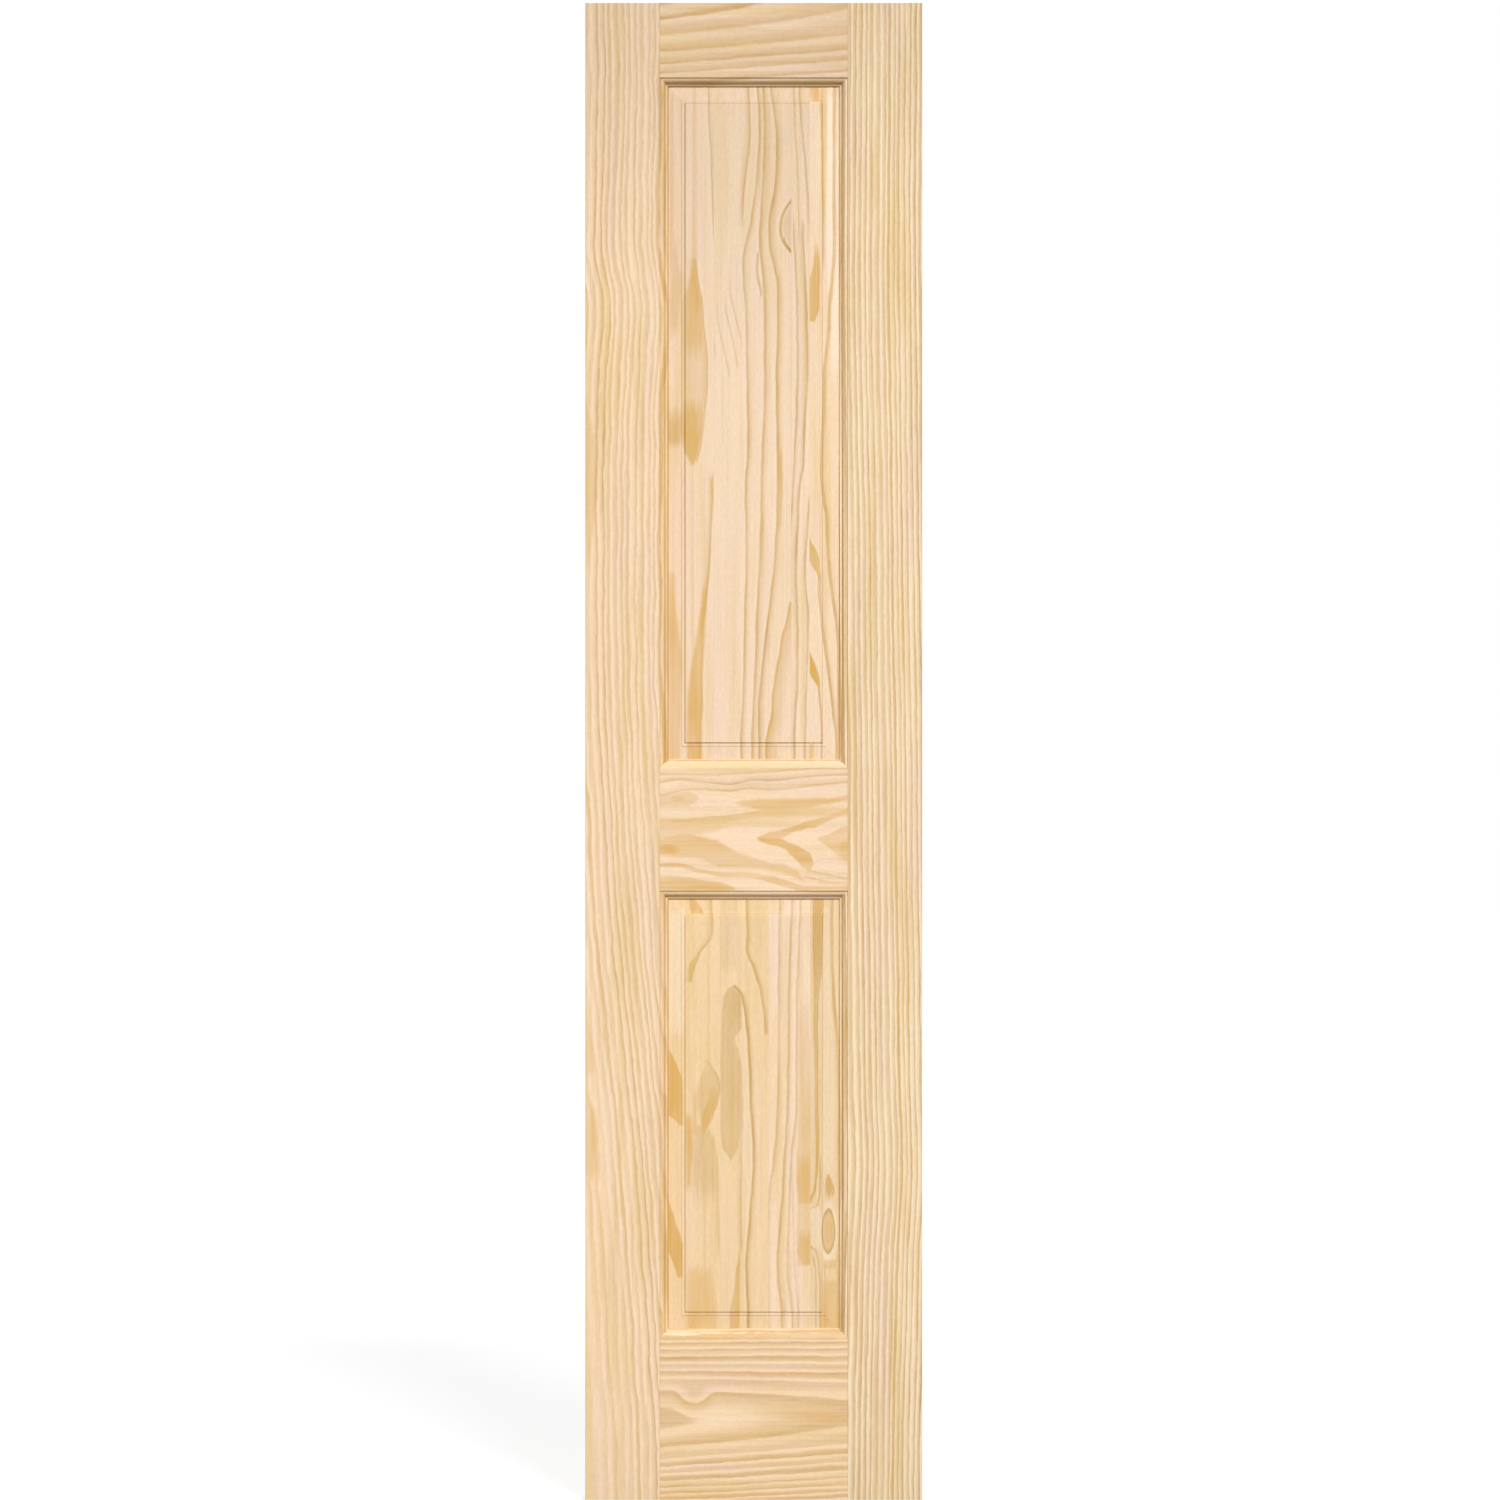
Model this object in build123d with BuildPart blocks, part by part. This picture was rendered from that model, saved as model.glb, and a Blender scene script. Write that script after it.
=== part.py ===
from build123d import *
import os

# A pine door leaf: two stiles and three rails around two raised panels, alike on both faces.
# Each panel is glued up from upright staves and sits dry in a groove, free to swell and shrink.
# The origin is on the hinge edge at the foot, in the middle of the thickness.
# X runs across the leaf to the lock edge, -Y is the front face, Z is up. Sizes are in millimetres.

# Leaf
leaf_width = 457.2
leaf_height = 2032.0
leaf_thickness = 34.9
arris_ease = 0.8

# Stiles and rails, each measured over its moulding
stile_width = 113.0
top_rail_width = 113.0
lock_rail_width = 190.5
bottom_rail_width = 232.0
lower_opening_height = 583.0

# Moulding from the face inwards: a quirk, an ovolo, a flat fillet and a drop to the groove
quirk_depth = 2.0
quirk_draft = 0.8
ovolo_radius = 7.0
fillet_width = 2.6
drop_draft = 1.6
groove_width = 11.0
groove_depth = 12.0

# Raised panels: a tongue in the groove, then a bevel, a shoulder, a flat band and a step to the field
tongue_clearance = 0.2
side_gap = 3.0
head_gap = 2.0
bevel_width = 17.0
bevel_rise = 1.6
shoulder_draft = 1.0
shoulder_rise = 0.7
band_width = 3.4
step_draft = 1.6
step_rise = 1.9

# Widths of the staves from the hinge side; the last stave of each panel takes what is left
upper_stave_widths = (61.0, 105.5, 25.0)
lower_stave_widths = (70.0, 65.5, 57.0)

# Dowels that pin each rail to its stiles
dowel_diameter = 9.5
dowel_length = 120.0
dowel_chamfer = 1.0
dowel_inset = 32.0
dowel_glue_film = 0.05
dowel_end_gap = 2.0
top_rail_dowels = 2
lock_rail_dowels = 3
bottom_rail_dowels = 3

# Places worked out from the sizes above
face = leaf_thickness / 2
centre_x = leaf_width / 2
moulding_width = quirk_draft + ovolo_radius + fillet_width + drop_draft
opening_width = leaf_width - 2 * stile_width
lock_rail_bottom = bottom_rail_width + lower_opening_height
lock_rail_top = lock_rail_bottom + lock_rail_width
top_rail_bottom = leaf_height - top_rail_width
upper_opening_height = top_rail_bottom - lock_rail_top
rail_end = stile_width - max(moulding_width, groove_depth)
rail_length = leaf_width - 2 * rail_end
hinge_groove_floor = stile_width - groove_depth
lock_groove_floor = leaf_width - hinge_groove_floor
tongue_half = groove_width / 2 - tongue_clearance
panel_half = tongue_half + bevel_rise + shoulder_rise + step_rise
hole_radius = dowel_diameter / 2 + dowel_glue_film
hole_depth = dowel_length / 2 + dowel_end_gap


def moulded_edge(sight_line):
    """Half of a moulded and grooved edge, from its shoulder on the face to the middle of the groove."""
    shoulder_x = sight_line - moulding_width
    quirk = Line((shoulder_x, face), (shoulder_x + quirk_draft, face - quirk_depth))
    ovolo = JernArc(start=quirk @ 1, tangent=(1, 0), radius=ovolo_radius, arc_size=-90)
    Polyline(
        ovolo @ 1,
        ovolo @ 1 + (fillet_width, 0),
        (sight_line, groove_width / 2),
        (sight_line - groove_depth, groove_width / 2),
        (sight_line - groove_depth, 0),
    )


def one_edged_section(width):
    """Section with a plain edge at 0 and a moulded edge at width."""
    with BuildSketch() as section:
        with BuildLine():
            Polyline((0, 0), (0, face), (width - moulding_width, face))
            moulded_edge(width)
            mirror(about=Plane.XZ)
        make_face()
    return section.sketch


def two_edged_section(width):
    """Section with a moulded edge on both sides of 0."""
    with BuildSketch() as section:
        with BuildLine():
            Line((0, face), (width / 2 - moulding_width, face))
            moulded_edge(width / 2)
            mirror(about=Plane.YZ)
            mirror(about=Plane.XZ)
        make_face()
    return section.sketch


def raised_section(opening, start_hold, end_hold):
    """Section of a raised panel across an opening centred on 0, held in a groove at each end."""
    border = [
        (0, tongue_half),
        (bevel_width, tongue_half + bevel_rise),
        (bevel_width + shoulder_draft, tongue_half + bevel_rise + shoulder_rise),
        (bevel_width + shoulder_draft + band_width, panel_half - step_rise),
        (bevel_width + shoulder_draft + band_width + step_draft, panel_half),
    ]
    start = -opening / 2
    end = opening / 2
    with BuildSketch() as section:
        with BuildLine():
            Polyline(
                (start - start_hold, 0),
                (start - start_hold, tongue_half),
                *[(start + inward, half) for inward, half in border],
                *[(end - inward, half) for inward, half in reversed(border)],
                (end + end_hold, tongue_half),
                (end + end_hold, 0),
            )
            mirror(about=Plane.XZ)
        make_face()
    return section.sketch


def dowel_heights(rail_bottom, rail_width, count):
    """Heights of a rail's dowels, evenly spread between its two outer ones."""
    spacing = (rail_width - 2 * dowel_inset) / (count - 1)
    return [rail_bottom + dowel_inset + spacing * row for row in range(count)]


def dowel_mouths(groove_floor, heights, towards):
    """Planes at the mouths of dowel holes, facing out of the drilled piece along X."""
    return [Plane((groove_floor, 0, height), z_dir=(towards, 0, 0)) for height in heights]


top_dowel_heights = dowel_heights(top_rail_bottom, top_rail_width, top_rail_dowels)
lock_dowel_heights = dowel_heights(lock_rail_bottom, lock_rail_width, lock_rail_dowels)
bottom_dowel_heights = dowel_heights(0, bottom_rail_width, bottom_rail_dowels)
all_dowel_heights = bottom_dowel_heights + lock_dowel_heights + top_dowel_heights


# Stiles before drilling: moulded and grooved from end to end, with the outer arrises eased
with BuildPart() as hinge_stile_blank:
    with BuildSketch(Plane.XY):
        add(one_edged_section(stile_width))
    extrude(amount=leaf_height)
    outer_arrises = hinge_stile_blank.edges().filter_by(Axis.Z).group_by(Axis.X)[0]
    chamfer(outer_arrises, arris_ease)

with BuildPart() as lock_stile_blank:
    mirror(hinge_stile_blank.part, about=Plane.YZ.offset(centre_x))

# Stiles drilled for the dowels, from the floor of the groove
with BuildPart() as hinge_stile:
    add(hinge_stile_blank.part)
    with Locations(*dowel_mouths(hinge_groove_floor, all_dowel_heights, 1)):
        Hole(hole_radius, hole_depth)

with BuildPart() as lock_stile:
    add(lock_stile_blank.part)
    with Locations(*dowel_mouths(lock_groove_floor, all_dowel_heights, -1)):
        Hole(hole_radius, hole_depth)


def cope_and_drill(heights):
    """Scribe both ends of a rail over the stiles' mouldings and drill them for dowels."""
    add([hinge_stile_blank.part, lock_stile_blank.part], mode=Mode.SUBTRACT)
    with Locations(*dowel_mouths(hinge_groove_floor, heights, -1)):
        Hole(hole_radius, hole_depth)
    with Locations(*dowel_mouths(lock_groove_floor, heights, 1)):
        Hole(hole_radius, hole_depth)


# Rails: the section runs across the leaf, and its ends fill the stiles' grooves as stub tenons
with BuildPart() as top_rail:
    with BuildSketch(Plane((rail_end, 0, leaf_height), x_dir=(0, 0, -1), z_dir=(1, 0, 0))):
        add(one_edged_section(top_rail_width))
    extrude(amount=rail_length)
    cope_and_drill(top_dowel_heights)

with BuildPart() as lock_rail:
    lock_rail_middle = (lock_rail_bottom + lock_rail_top) / 2
    with BuildSketch(Plane((rail_end, 0, lock_rail_middle), x_dir=(0, 0, 1), z_dir=(1, 0, 0))):
        add(two_edged_section(lock_rail_width))
    extrude(amount=rail_length)
    cope_and_drill(lock_dowel_heights)

with BuildPart() as bottom_rail:
    with BuildSketch(Plane((rail_end, 0, 0), x_dir=(0, 0, 1), z_dir=(1, 0, 0))):
        add(one_edged_section(bottom_rail_width))
    extrude(amount=rail_length)
    cope_and_drill(bottom_dowel_heights)


def panel_stave(opening_bottom, opening_height, left, right):
    """One upright stave of a raised panel: a strip of its level section, raised at head and foot."""
    side_hold = groove_depth - side_gap
    foot = opening_bottom - groove_depth
    head = opening_bottom + opening_height + groove_depth - head_gap
    with BuildPart() as stave:
        with BuildSketch(Plane((centre_x, 0, foot))):
            add(raised_section(opening_width, side_hold, side_hold))
            with Locations(((left + right) / 2 - centre_x, 0)):
                Rectangle(right - left, leaf_thickness, mode=Mode.INTERSECT)
        extrude(amount=head - foot)
        upright = Plane((left, 0, opening_bottom + opening_height / 2), x_dir=(0, 0, 1), z_dir=(1, 0, 0))
        with BuildSketch(upright):
            add(raised_section(opening_height, groove_depth, groove_depth - head_gap))
        extrude(amount=right - left, mode=Mode.INTERSECT)
    return stave


def stave_seams(widths):
    """Edges of a panel's staves across the leaf, from the hinge side to the lock side."""
    seams = [stile_width - groove_depth + side_gap]
    for count in range(len(widths)):
        seams.append(stile_width + sum(widths[: count + 1]))
    seams.append(leaf_width - seams[0])
    return seams


def dowel_set(groove_floor, heights):
    """The dowels at one end of a rail, half in the rail and half in the stile."""
    with BuildPart() as dowels:
        with Locations(*[(groove_floor, 0, height) for height in heights]):
            Cylinder(dowel_diameter / 2, dowel_length, rotation=(0, 90, 0))
        chamfer(dowels.edges().filter_by(GeomType.CIRCLE), dowel_chamfer)
    return dowels


pieces = {
    "hinge_stile": hinge_stile,
    "lock_stile": lock_stile,
    "top_rail": top_rail,
    "lock_rail": lock_rail,
    "bottom_rail": bottom_rail,
}

panels = {
    "upper_panel": (lock_rail_top, upper_opening_height, stave_seams(upper_stave_widths)),
    "lower_panel": (bottom_rail_width, lower_opening_height, stave_seams(lower_stave_widths)),
}
for panel_name, (opening_bottom, opening_height, seams) in panels.items():
    for number, (left, right) in enumerate(zip(seams, seams[1:]), start=1):
        pieces[f"{panel_name}_stave_{number}"] = panel_stave(opening_bottom, opening_height, left, right)

rail_dowel_heights = {
    "top_rail": top_dowel_heights,
    "lock_rail": lock_dowel_heights,
    "bottom_rail": bottom_dowel_heights,
}
for rail_name, heights in rail_dowel_heights.items():
    pieces[f"{rail_name}_hinge_dowels"] = dowel_set(hinge_groove_floor, heights)
    pieces[f"{rail_name}_lock_dowels"] = dowel_set(lock_groove_floor, heights)

os.makedirs("parts", exist_ok=True)
for name, piece in pieces.items():
    piece.part.label = name
    export_step(piece.part, f"parts/{name}.step")
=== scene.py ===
import math

import bpy
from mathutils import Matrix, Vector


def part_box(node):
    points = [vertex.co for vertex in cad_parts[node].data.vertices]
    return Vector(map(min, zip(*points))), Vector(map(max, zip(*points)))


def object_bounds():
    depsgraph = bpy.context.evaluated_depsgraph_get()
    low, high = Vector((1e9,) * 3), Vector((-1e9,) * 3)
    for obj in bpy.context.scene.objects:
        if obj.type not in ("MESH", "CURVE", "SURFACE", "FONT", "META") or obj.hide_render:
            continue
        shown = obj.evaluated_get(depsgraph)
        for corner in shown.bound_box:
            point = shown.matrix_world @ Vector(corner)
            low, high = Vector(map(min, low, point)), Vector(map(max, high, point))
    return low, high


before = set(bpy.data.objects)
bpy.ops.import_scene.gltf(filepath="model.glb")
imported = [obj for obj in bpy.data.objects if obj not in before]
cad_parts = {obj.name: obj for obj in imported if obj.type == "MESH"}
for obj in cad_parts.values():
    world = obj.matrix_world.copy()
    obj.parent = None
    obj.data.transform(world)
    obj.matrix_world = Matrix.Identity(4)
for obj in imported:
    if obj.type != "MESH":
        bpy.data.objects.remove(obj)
cad_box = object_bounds()

# A bare pine door leaf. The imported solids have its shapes; this script gives each board its own wood.
# Lengths are in metres in the scene and in millimetres inside the wood's materials.

MM_PER_METRE = 1000.0

leaf_low, leaf_high = cad_box
leaf_height = leaf_high.z - leaf_low.z
leaf_front = leaf_low.y

# Camera: straight at the leaf from far off, framed as in the photograph
camera_distance = 9.0
frame_margin = 1.00202
frame_height = leaf_height * frame_margin
frame_centre_x = 0.2235
frame_centre_z = 1.018
sensor_width = 36.0

# Light: a key in front, high and a little to the lock side, and lamps on the back and the hinge edge
# Each lamp has a strength, a spread, a turn from the front towards the lock edge, and a height
lamps = {
    "key_light": (2.55, 12, 15, 36),
    "back_light": (2.3, 30, 155, 38),
    "side_light": (1.2, 30, -100, 25),
}
room_strength = 0.35
floor_half = 30.0
floor_gap = 0.0005
floor_roughness = 0.9
floor_shade = 0.25
floor_lift = 0.70
WHITE = (1.0, 1.0, 1.0, 1.0)

# Pine colours as they look on a screen, 0 to 255
LATE_WOOD = (196, 153, 86)
AMBER_WOOD = (222, 173, 86)
ROSY_WOOD = (248, 219, 196)
STRAW_WOOD = (240, 208, 150)
PALE_WOOD = (255, 238, 212)
# Painted shade for the frame's moulding hollows and for the steps round the panels' fields
FRAME_HOLLOW_SHADE = (198, 150, 44)
PANEL_STEP_SHADE = (150, 118, 78)
BEECH = (214, 176, 132)
BEECH_FLECK = (180, 138, 96)

# Painted shade as the light falls off towards the upper panel's head: where it starts and ends, and its
# share
HEAD_PAINTED_SHADE = (1450, 1920, 0.1)

# Which way a board's fibres run
UPRIGHT = "upright"
LEVEL = "level"

# Noise runs from 0 to 1 about its middle
NOISE_MIDDLE = 0.5

# Sockets of a Mix node that carry colours
MIX_FIRST = 6
MIX_SECOND = 7
MIX_RESULT = 2


def screen_colour(red, green, blue):
    """A screen colour as the linear colour that a shader takes."""
    linear = []
    for level in (red, green, blue):
        share = level / 255
        linear.append(share / 12.92 if share <= 0.04045 else ((share + 0.055) / 1.055) ** 2.4)
    return (*linear, 1.0)


class Value:
    """A shader socket. Arithmetic on it adds Math nodes to the same material."""

    def __init__(self, socket):
        self.socket = socket

    def node(self, kind, settings=None, sockets=None, output=0):
        """Add a node: its settings first, then the values or links of its sockets."""
        tree = self.socket.id_data
        made = tree.nodes.new(kind)
        for name, setting in (settings or {}).items():
            if name == "stops":
                set_stops(made.color_ramp, setting)
            elif name == "easing":
                made.color_ramp.interpolation = setting
            else:
                setattr(made, name, setting)
        for name, value in (sockets or {}).items():
            if isinstance(value, Value):
                tree.links.new(value.socket, made.inputs[name])
            else:
                made.inputs[name].default_value = value
        return Value(made.outputs[output])

    def beside(self, output):
        """Another output of the node that this socket belongs to."""
        return Value(self.socket.node.outputs[output])

    def math(self, operation, *values):
        return self.node("ShaderNodeMath", {"operation": operation}, dict(enumerate(values)))

    def __add__(self, other):
        return self.math("ADD", self, other)

    def __sub__(self, other):
        return self.math("SUBTRACT", self, other)

    def __rsub__(self, other):
        return self.math("SUBTRACT", other, self)

    def __mul__(self, other):
        return self.math("MULTIPLY", self, other)

    def __truediv__(self, other):
        return self.math("DIVIDE", self, other)

    def __abs__(self):
        return self.math("ABSOLUTE", self)


def set_stops(ramp, stops):
    """Give a colour ramp its stops, each a place from 0 to 1 and a colour."""
    while len(ramp.elements) < len(stops):
        ramp.elements.new(1.0)
    for element, (place, colour) in zip(ramp.elements, stops):
        element.position = place
        element.color = colour


def smooth(value, low, high):
    """An eased step: 0 at low, 1 at high, whichever is larger."""
    limits = {"Value": value, "From Min": low, "From Max": high}
    return value.node("ShaderNodeMapRange", {"interpolation_type": "SMOOTHSTEP"}, limits)


def stretched(value, gain, level):
    """A value times a gain, set on a level."""
    return value * gain + level


def larger(first, second):
    return first.math("MAXIMUM", first, second)


def smaller(first, second):
    return first.math("MINIMUM", first, second)


def mixed(share, first, second):
    """The first colour with a share of the second laid over it."""
    sockets = {"Factor": share, MIX_FIRST: first, MIX_SECOND: second}
    return share.node("ShaderNodeMix", {"data_type": "RGBA"}, sockets, MIX_RESULT)


def new_material(name):
    """An empty material, with its shader and the object coordinates in millimetres."""
    material = bpy.data.materials.new(name)
    material.use_nodes = True
    nodes = material.node_tree.nodes
    shader = nodes["Principled BSDF"]
    place = Value(nodes.new("ShaderNodeTexCoord").outputs["Object"])
    spot = place.node("ShaderNodeVectorMath", {"operation": "SCALE"}, {0: place, "Scale": MM_PER_METRE})
    return material, shader, spot


def feed(shader, socket, value):
    """Link a value to one of a shader's sockets."""
    value.socket.id_data.links.new(value.socket, shader.inputs[socket])


class Board:
    """The wood of one board. Its figure is drawn ring by ring and line by line, in millimetres."""

    # Noise in the wood: its length with the grain, width across it, detail, roughness and seed
    FIBRE = (70, 0.9, 3.0, 0.6, 1)
    HAIR = (16, 0.32, 2.0, 0.6, 2)
    RIPPLE = (60, 12, 2.0, 0.5, 3)
    ROSY = (240, 16, 2.0, 0.5, 4)
    STRAW = (300, 20, 2.0, 0.5, 5)
    CLOUD = (180, 30, 3.0, 0.5, 6)
    STREAK = (260, 4.0, 3.0, 0.6, 7)
    PATCH = (90, 22, 2.0, 0.5, 8)
    FRAY = (220, 2.4, 2.0, 0.5, 9)
    GAPS = (36, 5, 2.0, 0.5, 10)
    MOTTLE = (7.5, 2.6, 4.0, 0.7, 11)
    SEED_STEP = (17.3, 5.1, 9.7)
    DRIFT_SEED_STEP = 3.7
    CHANCE_SEED_STEP = 7.0

    # Gain and level that turn noise or chance into an uneven strength
    PATCHY = (1.1, 0.25)
    PATCHY_RINGS = (0.5, 0.5)
    UNEVEN_EDGES = (0.55, 0.45)
    BROKEN_EDGES = (0.9, 0.55)
    FIBROUS_LATE = (0.9, 0.55)

    # Soft edge and skirt of a line, the rims beside lines and bands, and how far their ends fray
    EDGE = 0.9
    SKIRT_FADE = 1.5
    DARK_RIM = 3.5
    PALE_RIM = 7.0
    PALE_RIM_SHARE = 0.35
    FRAYED = 1.2
    TRACE_MARGIN = 1.0

    # A pool of colour, from its middle at 0 to its edge at 1, and its depth below the face
    POOL_DEPTH = 15.0
    POOL_FRINGE = 0.3
    POOL_RIM_OUTSIDE = (1.06, 0.98)
    POOL_RIM_INSIDE = (0.6, 0.95)

    # Depth of a bulge in the rings, and the slip of the figure below the face
    SWELL_DEPTH = 60.0
    FACE_DEPTH = 9.0
    SLIP_ALONG = 2.0
    SLIP_ACROSS = 0.6

    # Where in a ring its body and its dark edge rise, and how slowly the rings' widths change
    BODY_RISE = (0.1, 0.6)
    EDGE_RISE = (0.4, 0.8)
    LEAST_BODY = 0.4
    WIDTH_DRIFT = 0.31

    # Where noise or chance rises into amber rings, tints and streaks, and the streaks' share
    AMBER_RISE = (0.4, 0.7)
    TINT_RISE = (0.48, 0.7)
    STREAK_RISE = (0.42, 0.75)
    STREAK_SHARE = 0.2

    # Resin in the amber: its level, and the shares of cloud, streak, fibre and mottle
    RESIN_LEVEL = -0.82
    RESIN_SHARES = (1.2, 0.9, 0.7, 0.8)

    # Shares of fibre, hair, streak, cloud and mottle in how light the wood is
    SHADE_SHARES = (0.1, 0.06, 0.1, 0.08, 0.27)

    # The hollows of the mouldings get painted shade; faces that look up get less of it
    # How steep a moulding's hollow is, which faces look up or show end grain, and a glue seam's width
    HOLLOW_SHADE_FROM = (0.12, 0.3)
    HOLLOW_SHADE_TO = (0.95, 0.6)
    LOOKS_UP = (0.1, 0.4)
    LIT_SHARE = 0.85
    MOULDING_SHADE_EDGE = 2.0
    END_GRAIN = (0.75, 0.98)
    END_GRAIN_SHADE = 0.16
    SEAM = (0.9, 0.2)

    # Gloss and relief
    ROUGHNESS = 0.66
    LATE_GLOSS = 0.12
    HAIR_ROUGHNESS = 0.1
    SPECULAR = 0.3
    BUMP_STRENGTH = 0.25
    BUMP_DISTANCE = 0.0004
    LATE_RELIEF = 0.5
    FIBRE_RELIEF = 0.6
    HAIR_RELIEF = 0.4

    def __init__(self, name, grain, seed):
        self.grain = grain
        self.seed = seed
        self.low, self.high = [corner * MM_PER_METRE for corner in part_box(name)]
        self.material, self.shader, self.spot = new_material(f"{name}_pine")
        self.x = self.spot.node("ShaderNodeSeparateXYZ", None, {0: self.spot})
        self.z = self.x.beside("Z")
        self.behind = self.x.beside("Y") - self.low.y
        along, across = (self.z, self.x) if grain == UPRIGHT else (self.x, self.z)
        deep = larger(self.behind - self.FACE_DEPTH, 0.0)
        self.along = along + deep * self.SLIP_ALONG
        self.across = across + deep * self.SLIP_ACROSS
        self.patchy = stretched(self.noise(*self.PATCH), *self.PATCHY)
        self.frayed = (self.noise(*self.FRAY) - NOISE_MIDDLE) * self.FRAYED
        self.late = None
        self.amber = None
        self.pale = None

    def noise(self, length, width, detail=2.0, roughness=0.5, seed=0):
        """Noise from 0 to 1 whose cells are long with the grain and narrow across it."""
        thin = 1 / width
        long = 1 / length
        scale = (thin, thin, long) if self.grain == UPRIGHT else (long, thin, thin)
        shift = [step * (self.seed + seed) for step in self.SEED_STEP]
        place = self.spot.node("ShaderNodeVectorMath", {"operation": "MULTIPLY_ADD"},
                               {0: self.spot, 1: scale, 2: shift})
        return place.node("ShaderNodeTexNoise", None,
                          {"Vector": place, "Scale": 1.0, "Detail": detail, "Roughness": roughness})

    def traced(self, points):
        """A value that follows (along, value) points down the board, and stays level past the ends."""
        points = sorted(points)
        low, high = points[0][0], points[-1][0]
        least = min(value for along, value in points) - self.TRACE_MARGIN
        span = max(value for along, value in points) + self.TRACE_MARGIN - least
        stops = []
        for along, value in points:
            level = (value - least) / span
            stops.append(((along - low) / (high - low), (level, level, level, 1.0)))
        ramp = self.along.node("ShaderNodeValToRGB", {"stops": stops, "easing": "CARDINAL"},
                               {"Fac": (self.along - low) / (high - low)})
        return ramp * span + least

    def bend(self, points):
        """Bend the whole figure sideways by the amounts at the (along, amount) points."""
        self.across = self.across - self.traced(points)

    def wander(self, length, width, reach):
        """Let the whole figure stray across the board, as a tree's fibres do."""
        self.across = self.across + (self.noise(length, width) - NOISE_MIDDLE) * (2 * reach)

    def oval(self, x, z, half_x, half_z, depth):
        """Position inside an oval body round a spot of the face, 1 away from its middle at its skin."""
        return self.spot.node("ShaderNodeCombineXYZ", None, {
            "X": (self.x - x) / half_x,
            "Y": self.behind / depth,
            "Z": (self.z - z) / half_z,
        })

    def swell(self, x, z, half_x, half_z, lift):
        """Bulge of the rings round a spot on the face, a lift in millimetres."""
        place = self.oval(x, z, half_x, half_z, self.SWELL_DEPTH)
        near = place.node("ShaderNodeTexGradient", {"gradient_type": "SPHERICAL"},
                          {"Vector": place}, "Fac")
        return smooth(near, 0.0, 1.0) * lift

    def rings(self, pith, width, depth, lean=(0, 0), middle=0.0, start=0.0, swells=(), amber=0.0,
              uneven=0.35, body=0.5, crisp=0.76):
        """Growth rings round a pith beside or behind the board, which may lean as it runs along."""
        run = self.along - middle
        across = self.across - (run * lean[0] + pith[0])
        behind = self.behind - (run * lean[1] + pith[1])
        reach = across * across + behind * behind
        reach = reach.math("SQRT", reach)
        for swell in swells:
            reach = reach + self.swell(*swell)
        count = (reach - start) / width
        drift_place = count * self.WIDTH_DRIFT + self.seed * self.DRIFT_SEED_STEP
        drift = count.node("ShaderNodeTexNoise", {"noise_dimensions": "1D"},
                           {"W": drift_place, "Scale": 1.0, "Detail": 1.0})
        count = count + (drift - NOISE_MIDDLE) * (2 * uneven)
        phase = count.math("FRACT", count)
        number = count.math("FLOOR", count)
        chance = number.node("ShaderNodeTexWhiteNoise", {"noise_dimensions": "1D"},
                             {"W": number + self.seed * self.CHANCE_SEED_STEP}, "Color")
        body_chance = chance.node("ShaderNodeSeparateColor", None, {0: chance})
        edge_chance = body_chance.beside("Green")
        amber_chance = body_chance.beside("Blue")
        close = smooth(phase, 1.0, crisp)
        fullness = stretched(body_chance, body, body * self.LEAST_BODY)
        broad = smooth(phase, *self.BODY_RISE) * close * fullness
        edge = smooth(phase, *self.EDGE_RISE) * close * stretched(edge_chance, *self.UNEVEN_EDGES)
        broken = stretched(self.noise(*self.GAPS), *self.BROKEN_EDGES)
        self.add_late(larger(broad, edge * broken) * stretched(self.patchy, *self.PATCHY_RINGS) * depth)
        if amber:
            self.add_amber(broad * smooth(amber_chance, *self.AMBER_RISE) * amber)

    def add_late(self, amount):
        self.late = amount if self.late is None else larger(self.late, amount)

    def add_amber(self, amount):
        self.amber = amount if self.amber is None else larger(self.amber, amount)

    def add_pale(self, amount):
        self.pale = amount if self.pale is None else larger(self.pale, amount)

    def draw(self, shape, depth, amber=0.0):
        """Lay late wood over a shape, patchily, and tint it amber."""
        shape = shape * self.patchy
        if depth:
            self.add_late(shape * depth)
        if amber:
            self.add_amber(shape * amber)

    def ended(self, shape, points, ends):
        """Fade a shape out past its lowest and highest points, over two lengths; 0 lets it run on."""
        foot, head = points[0][0], points[-1][0]
        if ends[0]:
            shape = shape * smooth(self.along + self.frayed * ends[0], foot - ends[0], foot)
        if ends[1]:
            shape = shape * smooth(self.along + self.frayed * ends[1], head + ends[1], head)
        return shape

    def line(self, path, thick, depth, amber=0.0, skirt=0.0, ends=(0, 0)):
        """One growth line through (along, across) points, with a soft skirt on the side of its sign."""
        path = sorted(path)
        side = self.across - self.traced(path)
        if skirt < 0:
            side = 0.0 - side
        half = thick / 2
        drawn = smooth(abs(side), half + self.EDGE, half - self.EDGE)
        if skirt:
            reach = abs(skirt)
            fading = smooth(side, self.SKIRT_FADE * reach, -reach) * smooth(side, -self.EDGE, 0.0)
            drawn = larger(drawn, fading)
        self.draw(self.ended(drawn, path, ends), depth, amber)
        # The side without the skirt has a pale rim
        rim = smooth(side, -half - self.PALE_RIM, -half) * smooth(side, 0.0, -half)
        self.add_pale(self.ended(rim, path, ends) * (self.PALE_RIM_SHARE * depth))

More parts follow.
